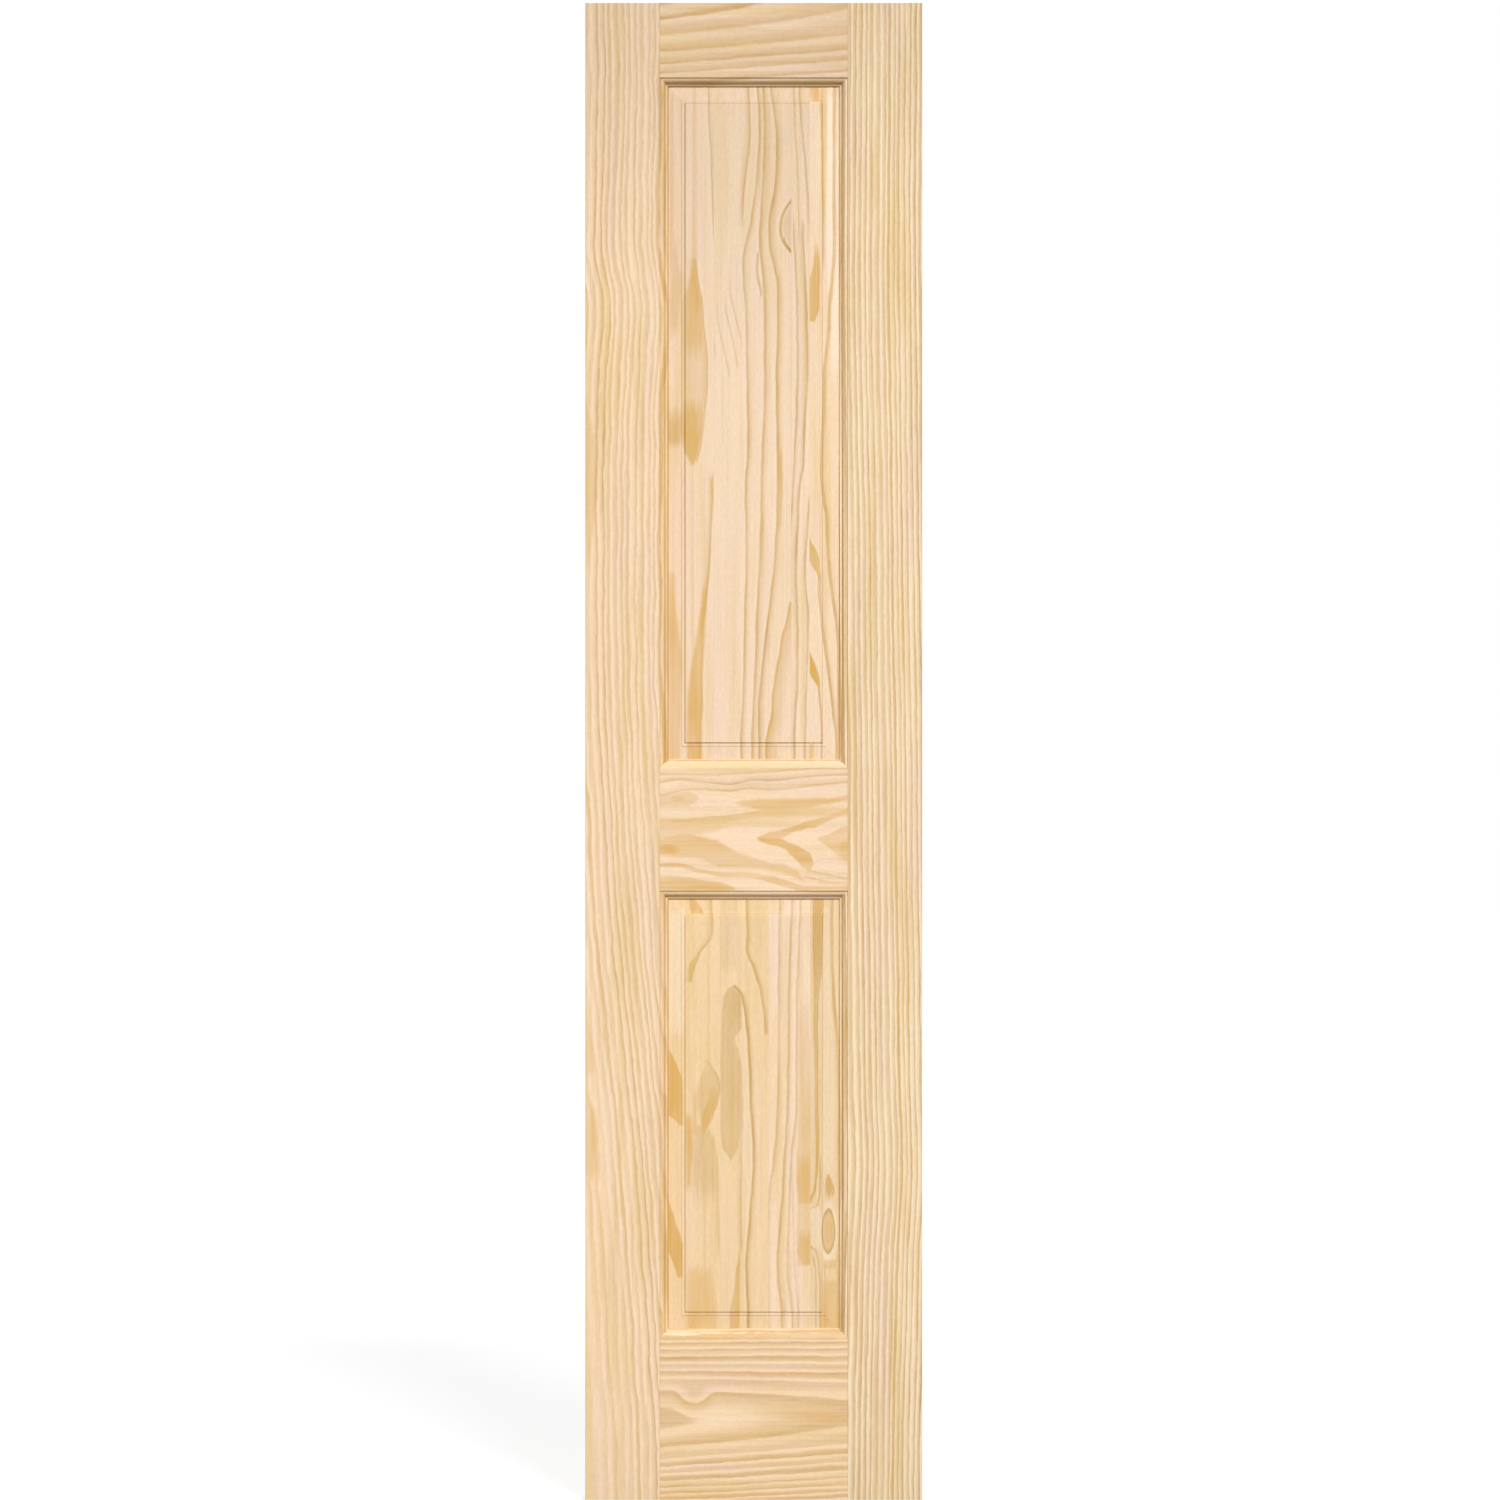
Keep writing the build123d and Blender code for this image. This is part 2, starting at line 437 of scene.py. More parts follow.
    def band(self, edges, depth, amber=0.0, pale=0.0, rim=0.0, soft=1.2, ends=(0, 0)):
        """Late, amber or pale wood between two edges through (along, low, high) points."""
        edges = sorted(edges)
        above = self.across - self.traced([(along, low) for along, low, high in edges])
        below = self.traced([(along, high) for along, low, high in edges]) - self.across
        inside = smooth(above, -soft, soft) * smooth(below, -soft, soft)
        inside = self.ended(inside, edges, ends)
        self.draw(inside, depth, amber)
        if rim:
            self.draw(inside * smooth(smaller(above, below), self.DARK_RIM, 0.0), rim)
        if pale:
            self.add_pale(inside * pale)

    def pool(self, x, z, half_x, half_z, fill=0.0, rim=0.0, amber=0.0, pale=0.0, soft=0.5, rough=0.6):
        """Late, amber or pale wood that lies flat in the face, as an oval that may have a darker rim."""
        place = self.oval(x, z, half_x, half_z, self.POOL_DEPTH)
        ripple = (self.noise(*self.RIPPLE) - NOISE_MIDDLE) * rough
        far = place.node("ShaderNodeVectorMath", {"operation": "LENGTH"}, {0: place}, "Value") + ripple
        inside = smooth(far, 1.0 + self.POOL_FRINGE * soft, 1.0 - soft)
        edge = smooth(far, *self.POOL_RIM_OUTSIDE) * smooth(far, *self.POOL_RIM_INSIDE)
        if fill or rim:
            self.add_late(larger(inside * fill, edge * rim))
        if amber:
            self.add_amber(inside * amber)
        if pale:
            self.add_pale(inside * pale)

    def painted_hollow_shade(self, facing_y, facing_z, hollow_shade_colour, hollow_shade_share, moulding_shade):
        """Painted shade on steep faces, less where frame faces look up, and past given places across."""
        hollow_shade = smooth(facing_y, *self.HOLLOW_SHADE_FROM) * smooth(facing_y, *self.HOLLOW_SHADE_TO)
        if hollow_shade_colour is FRAME_HOLLOW_SHADE:
            hollow_shade = hollow_shade * (1.0 - smooth(facing_z, *self.LOOKS_UP) * self.LIT_SHARE)
        hollow_shade = hollow_shade * hollow_shade_share
        for start, share in moulding_shade:
            hollow_shade = larger(hollow_shade, smooth(self.x, start, start + self.MOULDING_SHADE_EDGE) * share)
        return hollow_shade

    def dress(self, early, seam=0.03, hollow_shade_colour=FRAME_HOLLOW_SHADE, hollow_shade_share=0.4, rosy_share=0.6,
              straw_share=0.6, painted_darkening=(), moulding_shade=()):
        """Colour, gloss and relief of the finished board."""
        # Painted shade along the board as (start, end, share), and across it from each (start, share)
        fibre = self.noise(*self.FIBRE)
        hair = self.noise(*self.HAIR)
        streak = self.noise(*self.STREAK)
        cloud = self.noise(*self.CLOUD)
        mottle = self.noise(*self.MOTTLE)
        rosy = smooth(self.noise(*self.ROSY), *self.TINT_RISE)
        straw = smooth(self.noise(*self.STRAW), *self.TINT_RISE)
        late = self.late * stretched(fibre, *self.FIBROUS_LATE)
        late = smaller(late + smooth(streak, *self.STREAK_RISE) * self.STREAK_SHARE, 1.0)
        normal = Value(self.shader.id_data.nodes.new("ShaderNodeTexCoord").outputs["Normal"])
        facing_x = normal.node("ShaderNodeSeparateXYZ", None, {0: normal})
        facing_y = abs(facing_x.beside("Y"))
        facing_z = facing_x.beside("Z")
        # Each layer lies over those before it, and the painted shade in the hollows lies over all
        layers = [(rosy * rosy_share, ROSY_WOOD), (straw * straw_share, STRAW_WOOD)]
        if self.pale is not None:
            layers.append((self.pale, PALE_WOOD))
        layers.append((late, LATE_WOOD))
        if self.amber is not None:
            resin = self.RESIN_LEVEL
            for pattern, share in zip((cloud, streak, fibre, mottle), self.RESIN_SHARES):
                resin = stretched(pattern, share, resin)
            layers.append((self.amber * resin, AMBER_WOOD))
        # Painted shade over the wood in the hollows of the profile
        hollow_shade = self.painted_hollow_shade(facing_y, facing_z, hollow_shade_colour, hollow_shade_share, moulding_shade)
        layers.append((hollow_shade, hollow_shade_colour))
        colour = screen_colour(*early)
        for share, wood in layers:
            colour = mixed(share, colour, screen_colour(*wood))
        # Lighter and darker fibres, darker end grain, painted shade towards the ends and the seams beside
        # the board
        end_facing = facing_z if self.grain == UPRIGHT else facing_x
        shade = 1.0 - smooth(abs(end_facing), *self.END_GRAIN) * self.END_GRAIN_SHADE
        for pattern, share in zip((fibre, hair, streak, cloud, mottle), self.SHADE_SHARES):
            shade = shade + (pattern - NOISE_MIDDLE) * share
        # Painted shade: darker along the given spans of the board
        for start, end, share in painted_darkening:
            shade = shade - smooth(self.along, start, end) * share
        for place in (self.low.x, self.high.x):
            shade = shade - smooth(abs(self.x - place), *self.SEAM) * seam
        colour = shade.node("ShaderNodeHueSaturation", None, {"Value": shade, "Color": colour})
        relief = late * self.LATE_RELIEF + fibre * self.FIBRE_RELIEF + hair * self.HAIR_RELIEF
        bump = relief.node("ShaderNodeBump", None, {
            "Strength": self.BUMP_STRENGTH,
            "Distance": self.BUMP_DISTANCE,
            "Height": relief,
        })
        feed(self.shader, "Base Color", colour)
        roughness = self.ROUGHNESS - late * self.LATE_GLOSS + (hair - NOISE_MIDDLE) * self.HAIR_ROUGHNESS
        feed(self.shader, "Roughness", roughness)
        feed(self.shader, "Normal", bump)
        self.shader.inputs["Specular IOR Level"].default_value = self.SPECULAR
        return self.material


def stave(name, seed):
    """A stave of a panel, with fibres that stray a little as they run up."""
    board = Board(name, UPRIGHT, seed)
    board.wander(32, 9, 1.5)
    return board


def hinge_stile():
    """Rings that lean to the lock side towards the foot, round a pith beyond the hinge edge."""
    board = Board("hinge_stile", UPRIGHT, seed=1)
    board.bend([(2032, 2), (1900, 3), (1765, 0), (1700, -1), (1650, 6), (1613, 10), (1570, 8), (1500, 4),
                (1400, 2), (1220, 1), (1085, 4), (950, 10), (815, 19), (680, 31), (545, 46), (410, 58),
                (270, 68), (130, 77), (0, 83)])
    board.wander(120, 40, 4.5)
    board.wander(36, 12, 2.4)
    board.wander(14, 5, 1.0)
    # The rings fade towards the plain wood that runs out at the foot of the hinge edge
    ring_depth = smooth(board.across, -75, 20) * 0.54 + 0.09
    board.rings(pith=(-110, 95), width=7.5, depth=ring_depth, amber=0.4, body=0.55, uneven=0.5)
    board.band([(1480, -4, 2), (1440, -4, 12), (1390, -4, 16), (1330, -4, 12), (1280, -4, 3)], depth=0.1,
               amber=0.5, soft=5, ends=(30, 30))
    board.band([(655, -100, -30), (620, -100, -27), (588, -100, -26)], depth=0.1, amber=0.38, soft=3,
               ends=(24, 40))
    board.band([(556, -100, -41), (529, -100, -36), (475, -100, -34), (448, -100, -34)], depth=0.1,
               amber=0.4, soft=3, ends=(24, 30))
    # Painted shade in the hollows, across the moulding from 101 mm, and towards the head and foot
    return board.dress(early=(254, 225, 190), seam=0.0, hollow_shade_share=0.58,
                       moulding_shade=[(101, 0.2), (110, 0.42)], painted_darkening=[(1600, 2040, 0.14), (250, -50, 0.06)])


def lock_stile():
    """Close rings that run nearly straight."""
    board = Board("lock_stile", UPRIGHT, seed=2)
    board.bend([(2032, 0), (1700, -2), (1400, 2), (1100, 6), (800, 10), (550, 13), (450, 16), (350, 11),
                (200, 7), (0, 4)])
    board.wander(260, 60, 2.5)
    board.wander(50, 12, 1.6)
    board.wander(16, 5, 0.8)
    board.rings(pith=(284, 75), width=6.3, depth=0.85, amber=0.4, body=0.55, uneven=0.3, crisp=0.86)
    # Painted shade in the hollows, and towards the head and foot
    return board.dress(early=(255, 232, 196), seam=0.0, hollow_shade_share=0.24,
                       painted_darkening=[(1700, 2040, 0.1), (450, -50, 0.065)])


def top_rail():
    """Wide rings cut at a slant."""
    board = Board("top_rail", LEVEL, seed=3)
    board.wander(160, 50, 2.0)
    board.wander(24, 7, 1.4)
    board.rings(pith=(2065, 92), lean=(0, 0.09), middle=228.6, width=12.5, depth=0.75, start=2.0,
                amber=0.2, crisp=0.86)
    return board.dress(early=(233, 205, 170), seam=0.2, hollow_shade_share=0.45)


def lock_rail():
    """Flame figure: level lines, a pale tongue, two arrows and broad bands."""
    board = Board("lock_rail", LEVEL, seed=4)
    board.wander(60, 16, 1.2)
    board.wander(18, 6, 1.4)
    # Level lines along the upper edge; the first is a painted shadow where the panel meets the moulding
    board.line([(100, 1004.5), (360, 1004.5)], thick=2.4, depth=0.7, amber=0.3)
    board.line([(100, 986), (168, 985), (205, 987), (248, 989), (296, 992), (356, 993)], thick=3,
               depth=0.35, amber=0.15, skirt=7)
    board.line([(100, 974), (119, 977), (140, 977), (181, 973), (198, 972), (222, 977), (259, 977),
                (299, 982), (356, 985)], thick=3, depth=0.45, amber=0.15, skirt=7)
    board.line([(105, 957), (131, 964), (161, 965), (195, 963), (218, 966), (259, 965), (299, 969),
                (333, 973), (356, 975)], thick=3, depth=0.4, amber=0.15, skirt=8)
    board.band([(96, 940, 957), (120, 941, 960), (140, 942, 962), (151, 948, 956), (158, 954, 950)],
               depth=0.04, amber=0.55, soft=3)
    board.pool(126, 952, 18, 8, amber=0.6, soft=0.8)
    # Two arms round a pale tongue, which join to the right of its tip
    board.band([(198, 947, 944), (210, 943, 948), (225, 940, 949), (236, 936, 951), (259, 929, 952),
                (290, 931, 952), (304, 937, 952), (316, 943, 953), (333, 946, 953), (360, 951, 958)],
               depth=0.03, amber=0.5, rim=0.06, soft=2.5)
    board.pool(250, 938, 18, 7, amber=0.5)
    board.band([(96, 910, 922), (122, 910, 922), (164, 916, 927), (201, 921, 929), (232, 925, 935),
                (245, 927, 940)], depth=0.04, amber=0.45, soft=2.5)
    board.line([(122, 922), (164, 926), (201, 929), (232, 934)], thick=2.5, depth=0.3, amber=0.2,
               skirt=-6, ends=(20, 10))
    board.band([(96, 896, 925), (130, 900, 925), (160, 905, 924), (180, 909, 922), (200, 915, 919)],
               depth=0.06, amber=0.35, soft=4)
    # The large arrow and the small one inside it, both pointing to the hinge side
    board.band([(229, 900, 897), (236, 896, 900), (248, 897, 905), (265, 898, 909), (280, 905, 914),
                (299, 911, 920), (314, 913, 924), (333, 923, 931), (349, 929, 937), (360, 932, 940)],
               depth=0.03, amber=0.75, rim=0.12, soft=2)
    board.band([(229, 900, 897), (236, 895, 899), (248, 890, 899), (265, 886, 898), (275, 879, 893),
                (290, 865, 887), (299, 857, 882), (306, 856, 876), (311, 864, 860)], depth=0.03,
               amber=0.9, rim=0.12, soft=2)
    board.line([(304, 854), (316, 851), (333, 848), (356, 844)], thick=3, depth=0.4, skirt=-6,
               ends=(6, 0))
    board.band([(310, 899, 896), (320, 893, 900), (333, 884, 904), (346, 873, 912), (360, 864, 916)],
               depth=0.03, amber=0.6, rim=0.12, soft=2)
    board.pool(352, 884, 14, 22, amber=0.7, soft=0.8)
    # Broad bands that run down to the right
    board.band([(96, 877, 896), (110, 874, 900), (131, 872, 905), (152, 871, 902), (168, 865, 898),
                (181, 859, 894), (205, 858, 880), (225, 858, 872), (248, 855, 866), (272, 850, 862),
                (289, 843, 852), (302, 839, 836)], depth=0.03, amber=0.6, soft=3)
    board.pool(114, 884, 26, 12, amber=0.8, soft=0.9)
    board.band([(96, 859, 864), (119, 859, 865), (136, 857, 863), (150, 852, 858), (164, 850, 855),
                (181, 846, 852), (225, 844, 851), (245, 840, 848), (259, 836, 845), (282, 829, 838),
                (296, 825, 833)], depth=0.05, amber=0.65, rim=0.1, soft=1.6)
    board.band([(96, 827, 848), (119, 827, 847), (155, 827, 843), (185, 827, 838), (200, 828, 833),
                (210, 830, 826)], depth=0.03, amber=0.7, soft=2)
    board.line([(300, 846), (316, 841), (356, 836)], thick=4, depth=0.25, amber=0.2, skirt=-6,
               ends=(10, 0))
    return board.dress(early=(255, 225, 191), seam=0.2, hollow_shade_share=0.5)


def bottom_rail():
    """Rings round a pith behind the rail, which opens as a long tongue."""
    board = Board("bottom_rail", LEVEL, seed=5)
    board.wander(110, 40, 2.0)
    board.wander(22, 7, 1.5)
    board.rings(pith=(114, 84), lean=(0.03, 0.028), middle=228.6, width=7.0, depth=0.65, start=5.4,
                amber=0.35, body=0.7, swells=[(147, 138, 34, 30, 6)], crisp=0.88)
    board.pool(320, 114, 80, 12, amber=0.5, soft=0.9)
    board.pool(185, 112, 75, 13, pale=0.25, soft=0.9)
    board.band([(100, 224, 245), (360, 224, 245)], depth=0.0, pale=0.35, soft=4)
    return board.dress(early=(252, 221, 182), seam=0.2, hollow_shade_share=0.4)


def upper_stave_1():
    """An amber tongue that the edge of the field cuts off."""
    board = stave("upper_panel_stave_1", seed=6)
    board.line([(1895, 167), (1840, 170), (1780, 172), (1720, 174), (1680, 177)], thick=2.4, depth=0.6,
               skirt=5)
    board.line([(1380, 172), (1350, 172), (1320, 170), (1260, 167), (1200, 161), (1140, 158), (1080, 158),
                (1040, 156)], thick=3.2, depth=0.6, amber=0.5, skirt=-6, ends=(0, 20))
    board.band([(1222, 158, 165), (1160, 149, 161), (1113, 141, 159), (1035, 138, 158)], depth=0.12,
               amber=0.8, soft=3, ends=(0, 30))
    # Amber tongue cut off by the edge of the field
    board.band([(1684, 149, 148), (1660, 141, 153), (1620, 130, 159), (1580, 130, 162), (1540, 130, 165),
                (1510, 130, 165), (1480, 130, 163), (1450, 130, 159), (1425, 134, 156), (1412, 138, 152),
                (1404, 144, 147)], depth=0.12, amber=0.25)
    board.line([(1684, 149), (1640, 156), (1590, 161), (1540, 165), (1500, 164), (1460, 160), (1428, 156),
                (1412, 152)], thick=2.6, depth=0.45, amber=0.4, skirt=-10, ends=(6, 6))
    board.band([(1690, 147, 149), (1660, 142, 152), (1630, 136, 157), (1580, 136, 159)], depth=0.12,
               amber=0.8, soft=4, ends=(50, 0))
    board.band([(1470, 132, 160), (1440, 132, 157), (1420, 136, 153), (1407, 142, 148)], depth=0.25,
               amber=0.9, soft=3, ends=(6, 40))
    # Amber on the border
    board.band([(1690, 118, 126), (1640, 116, 130), (1600, 114, 126)], depth=0.1, amber=0.5, soft=4,
               ends=(30, 40))
    board.band([(1900, 115, 119), (1800, 115, 120), (1700, 115, 120)], depth=0.08, amber=0.4, soft=2,
               ends=(60, 20))
    board.band([(1458, 112, 134), (1450, 110, 134), (1441, 112, 130)], depth=0.42, amber=0.26, soft=4,
               ends=(16, 34))
    board.band([(1256, 108, 122), (1200, 108, 124), (1150, 112, 130), (1100, 108, 129), (1010, 108, 128)],
               depth=0.05, amber=0.58, soft=3, ends=(0, 6))
    return board.dress(early=(248, 219, 186), hollow_shade_colour=PANEL_STEP_SHADE, hollow_shade_share=0.42,
                       painted_darkening=[HEAD_PAINTED_SHADE])


def upper_stave_2():
    """Long lines that swerve round half an eye."""
    board = stave("upper_panel_stave_2", seed=7)
    board.line([(1920, 221), (1860, 223), (1820, 220), (1790, 216), (1750, 213)], thick=2.8, depth=0.55,
               amber=0.25, skirt=-5, ends=(25, 0))
    board.line([(1920, 234), (1860, 237), (1820, 235), (1760, 229), (1720, 222), (1690, 215), (1660, 215),
                (1620, 218), (1540, 220), (1420, 221), (1385, 218), (1300, 219), (1200, 217), (1100, 215),
                (1040, 212)], thick=3.0, depth=0.6, amber=0.3, skirt=5)
    board.line([(1920, 242), (1860, 244), (1800, 242), (1740, 239), (1700, 238), (1660, 242), (1600, 244),
                (1500, 244), (1440, 242), (1400, 240), (1320, 239), (1260, 237), (1200, 233), (1120, 231),
                (1040, 227)], thick=3.6, depth=0.6, amber=0.35, skirt=7)
    board.line([(1690, 234), (1670, 233), (1650, 236), (1640, 238)], thick=3.4, depth=0.5, amber=0.3,
               ends=(8, 8))
    board.line([(1920, 252), (1860, 260), (1780, 258), (1750, 252), (1720, 250), (1690, 253), (1660, 260),
                (1620, 262), (1500, 260), (1400, 262), (1320, 260), (1260, 256), (1200, 249), (1140, 242),
                (1090, 237), (1066, 236)], thick=3.4, depth=0.7, amber=0.35, skirt=7)
    board.line([(1410, 265), (1370, 265), (1330, 263)], thick=5, depth=0.35, amber=0.6, ends=(30, 30))
    board.line([(1218, 279), (1180, 270), (1140, 263), (1100, 256), (1060, 253), (1030, 246)], thick=3.5,
               depth=0.6, amber=0.7, skirt=15, ends=(0, 3))
    # Half of an eye, cut off by the seam
    board.line([(1767, 281), (1758, 275), (1745, 268), (1730, 265), (1716, 266), (1706, 270), (1698, 276),
                (1692, 282)], thick=4, depth=0.85, amber=0.3, ends=(2, 2))
    board.band([(1760, 279, 281), (1730, 268, 281), (1703, 277, 281)], depth=0.2, amber=0.15, ends=(4, 4))
    board.line([(1710, 269), (1702, 274), (1694, 280)], thick=5, depth=1.1, ends=(2, 8))
    # Grey slanting streaks
    for foot, top in ((1560, 176), (1530, 195), (1545, 206), (1570, 212)):
        board.line([(foot + 75, top - 16), (foot, top)], thick=2.6, depth=0.3, ends=(14, 30))
    return board.dress(early=(249, 221, 189), straw_share=0.35, hollow_shade_colour=PANEL_STEP_SHADE, hollow_shade_share=0.42,
                       painted_darkening=[HEAD_PAINTED_SHADE])


def upper_stave_3():
    """A narrow stave with a few long lines."""
    board = stave("upper_panel_stave_3", seed=8)
    board.line([(1910, 283), (1840, 286), (1780, 289), (1730, 290)], thick=2.6, depth=0.45, ends=(40, 0))
    board.line([(1720, 283), (1640, 287), (1520, 288), (1440, 285), (1345, 280), (1300, 276)], thick=3,
               depth=0.65, skirt=4, ends=(0, 30))
    board.line([(1910, 291), (1840, 296), (1780, 301), (1740, 303)], thick=3, depth=0.5, ends=(40, 0))
    board.line([(1720, 295), (1640, 299), (1540, 301), (1460, 298), (1400, 295), (1369, 290), (1315, 288),
                (1260, 286), (1186, 288), (1100, 287), (1040, 284)], thick=3.2, depth=0.7, skirt=-5,
               ends=(0, 30))
    board.line([(1350, 304), (1316, 301), (1260, 298), (1200, 302), (1100, 300), (1040, 298)], thick=3,
               depth=0.6, skirt=-4, ends=(0, 20))
    return board.dress(early=(250, 221, 188), hollow_shade_colour=PANEL_STEP_SHADE, hollow_shade_share=0.42,
                       painted_darkening=[HEAD_PAINTED_SHADE])


def upper_stave_4():
    """Lines that slant into the border, and amber flecks at the seam."""
    board = stave("upper_panel_stave_4", seed=9)
    board.line([(1900, 321), (1820, 322), (1700, 323)], thick=3.6, depth=0.5, ends=(40, 0))
    board.line([(1690, 338), (1640, 333), (1580, 330), (1540, 325), (1460, 323), (1390, 321), (1340, 327),
                (1280, 330), (1220, 337), (1160, 344)], thick=4.5, depth=0.6, amber=0.2, skirt=5)
    board.band([(1680, 310, 318), (1650, 303, 318), (1615, 302, 317), (1602, 303, 312)], depth=0.08,
               amber=0.9, soft=1.4, ends=(4, 30))
    board.band([(1308, 303, 304), (1296, 302, 310), (1280, 303, 317), (1266, 309, 318), (1252, 316, 318)],
               depth=0.15, amber=1.0, ends=(3, 4))
    board.line([(1255, 317), (1220, 319), (1180, 323), (1140, 328), (1100, 333), (1060, 338),
                (1030, 341)], thick=4, depth=0.65, amber=0.25, skirt=6, ends=(0, 10))
    board.band([(1154, 303, 304), (1142, 302, 309), (1126, 303, 315), (1114, 309, 318), (1102, 317, 318)],
               depth=0.15, amber=1.0, ends=(3, 4))
    board.line([(1103, 317), (1080, 319), (1040, 321)], thick=2.6, depth=0.6, ends=(0, 6))
    board.band([(1900, 328, 346), (1700, 328, 346), (1560, 334, 346)], depth=0.0, pale=0.75, soft=3,
               ends=(60, 20))
    board.band([(1910, 320, 328), (1850, 320, 328), (1770, 321, 326)], depth=0.05, amber=0.4, soft=2,
               ends=(60, 20))
    board.band([(1920, 303, 318), (1900, 306, 319)], depth=0.15, amber=0.7, soft=3, ends=(2, 0))
    board.band([(1025, 301, 310), (1005, 302, 310)], depth=0.1, amber=0.5, soft=3, ends=(0, 3))
    return board.dress(early=(249, 221, 185), hollow_shade_colour=PANEL_STEP_SHADE, hollow_shade_share=0.2)


def lower_stave_1():
    """A greyish leaf, a grey arch below it and amber leaves on the border."""
    board = stave("lower_panel_stave_1", seed=10)
    board.band([(816, 141, 149), (806, 141, 155), (797, 143, 160)], depth=0.15, amber=0.75, ends=(2, 0))
    board.line([(800, 171), (772, 172), (758, 167), (746, 157), (730, 150), (706, 143)], thick=4,
               depth=0.4, amber=0.5, skirt=-8, ends=(5, 0))
    board.band([(742, 152, 155), (728, 142, 151), (704, 141, 144)], depth=0.2, amber=0.7, ends=(4, 4))
    # Greyish leaf with a tan edge on its right and amber at its foot
    board.band([(596, 166, 168), (580, 159, 176), (562, 153, 181), (543, 151, 179), (527, 153, 174),
                (510, 157, 167), (498, 161, 162)], depth=0.3, amber=0.1, soft=2.5)
    board.line([(596, 166), (580, 176), (562, 181), (543, 179), (527, 174), (510, 167), (498, 161)],
               thick=4, depth=0.35, amber=0.5, skirt=-7, ends=(3, 3))
    board.band([(545, 168, 179), (527, 160, 174), (512, 158, 168), (500, 160, 163)], depth=0.1,
               amber=0.75, soft=3, ends=(3, 25))
    board.band([(605, 140, 147), (560, 140, 148), (538, 141, 147)], depth=0.16, soft=3, ends=(20, 20))
    board.band([(540, 146, 151), (515, 144, 151), (500, 140, 153)], depth=0.1, amber=0.5, soft=3,
               ends=(10, 25))
    # Grey arch below the leaf with amber along its hinge side
    board.band([(506, 150, 168), (484, 147, 176), (436, 145, 178)], depth=0.36, soft=4, ends=(45, 6))
    board.band([(515, 136, 144), (480, 136, 146), (434, 136, 143)], depth=0.15, amber=0.7, soft=3,
               ends=(20, 15))
    board.line([(490, 174), (460, 178), (436, 179), (400, 180), (352, 181)], thick=4, depth=0.25,
               amber=0.25, skirt=-6, ends=(25, 6))
    board.band([(300, 138, 172), (258, 138, 178)], depth=0.12, amber=0.5, soft=6, ends=(0, 25))
    board.band([(790, 112, 134), (650, 112, 134)], depth=0.0, pale=0.45, soft=3, ends=(30, 20))
    # Amber leaves on the border
    board.band([(618, 108, 112), (603, 108, 118), (578, 108, 129), (555, 108, 132), (524, 111, 132),
                (510, 126, 132)], depth=0.12, amber=0.85, soft=1.8, ends=(4, 6))
    board.band([(410, 108, 112), (391, 108, 118), (369, 109, 125), (350, 110, 131), (339, 112, 132),
                (304, 125, 132)], depth=0.12, amber=0.8, soft=1.8, ends=(6, 6))
    return board.dress(early=(248, 215, 168), hollow_shade_colour=PANEL_STEP_SHADE, hollow_shade_share=0.15, rosy_share=0.3)


def lower_stave_2():
    """A long rounded tongue, and the line that follows it."""
    board = stave("lower_panel_stave_2", seed=11)
    board.line([(812, 219), (770, 221), (745, 220), (728, 227), (700, 236), (670, 242), (636, 245)],
               thick=3.6, depth=0.55, amber=0.5, skirt=5, ends=(8, 0))
    # Rounded tongue with a pale nick in its edge
    board.band([(699, 201, 200), (694, 194, 208), (684, 188, 212), (660, 185, 212), (638, 184, 211),
                (627, 184, 203), (614, 184, 207), (590, 183, 212), (520, 183, 213), (492, 184, 211),
                (474, 188, 206), (459, 198, 197)], depth=0.46, amber=0.12, soft=1.3)
    board.line([(697, 203), (688, 211), (670, 216), (640, 220), (600, 223), (540, 225), (500, 227),
                (475, 229), (440, 228), (400, 225), (360, 222), (320, 219), (255, 221)], thick=3.4,
               depth=0.8, amber=0.3, skirt=5, ends=(0, 3))
    board.line([(540, 213), (500, 213), (460, 212), (400, 211), (345, 212)], thick=2.6, depth=0.5,
               skirt=-4, ends=(20, 30))
    board.band([(335, 209, 210), (315, 205, 210), (285, 202, 209), (255, 196, 209)], depth=0.25,
               amber=0.8, ends=(0, 6))
    board.band([(800, 184, 206), (730, 184, 206)], depth=0.2, soft=5, ends=(20, 0))
    return board.dress(early=(246, 215, 170), hollow_shade_colour=PANEL_STEP_SHADE, hollow_shade_share=0.15, rosy_share=0.3)


def lower_stave_3():
    """Straight lines, and amber along the seam."""
    board = stave("lower_panel_stave_3", seed=12)
    board.line([(812, 264), (700, 263), (600, 263), (520, 261), (480, 258), (440, 253), (400, 249),
                (340, 247)], thick=3.4, depth=0.5, skirt=6)
    board.line([(812, 281), (720, 277), (600, 276), (520, 274), (460, 270), (400, 267), (340, 262),
                (300, 262), (255, 267)], thick=3.4, depth=0.55, skirt=6)
    board.line([(812, 292), (700, 288), (600, 287), (520, 286), (480, 281), (420, 278), (340, 275),
                (300, 275), (255, 281)], thick=3.0, depth=0.5, skirt=5)
    board.line([(400, 282), (300, 285), (255, 289)], thick=3, depth=0.35, ends=(0, 40))
    board.band([(640, 291, 304), (560, 290, 306), (480, 289, 307), (450, 287, 307), (402, 288, 307),
                (396, 290, 307), (350, 287, 307), (318, 289, 307)], depth=0.18, amber=0.25, soft=2,
               ends=(3, 60))
    board.band([(450, 288, 312), (430, 287, 312), (403, 290, 312)], depth=0.15, amber=0.8, soft=3,
               ends=(3, 40))
    board.band([(350, 289, 312), (335, 288, 312), (320, 293, 312)], depth=0.15, amber=0.8, soft=3,
               ends=(3, 25))
    return board.dress(early=(252, 223, 191), hollow_shade_colour=PANEL_STEP_SHADE, hollow_shade_share=0.15)


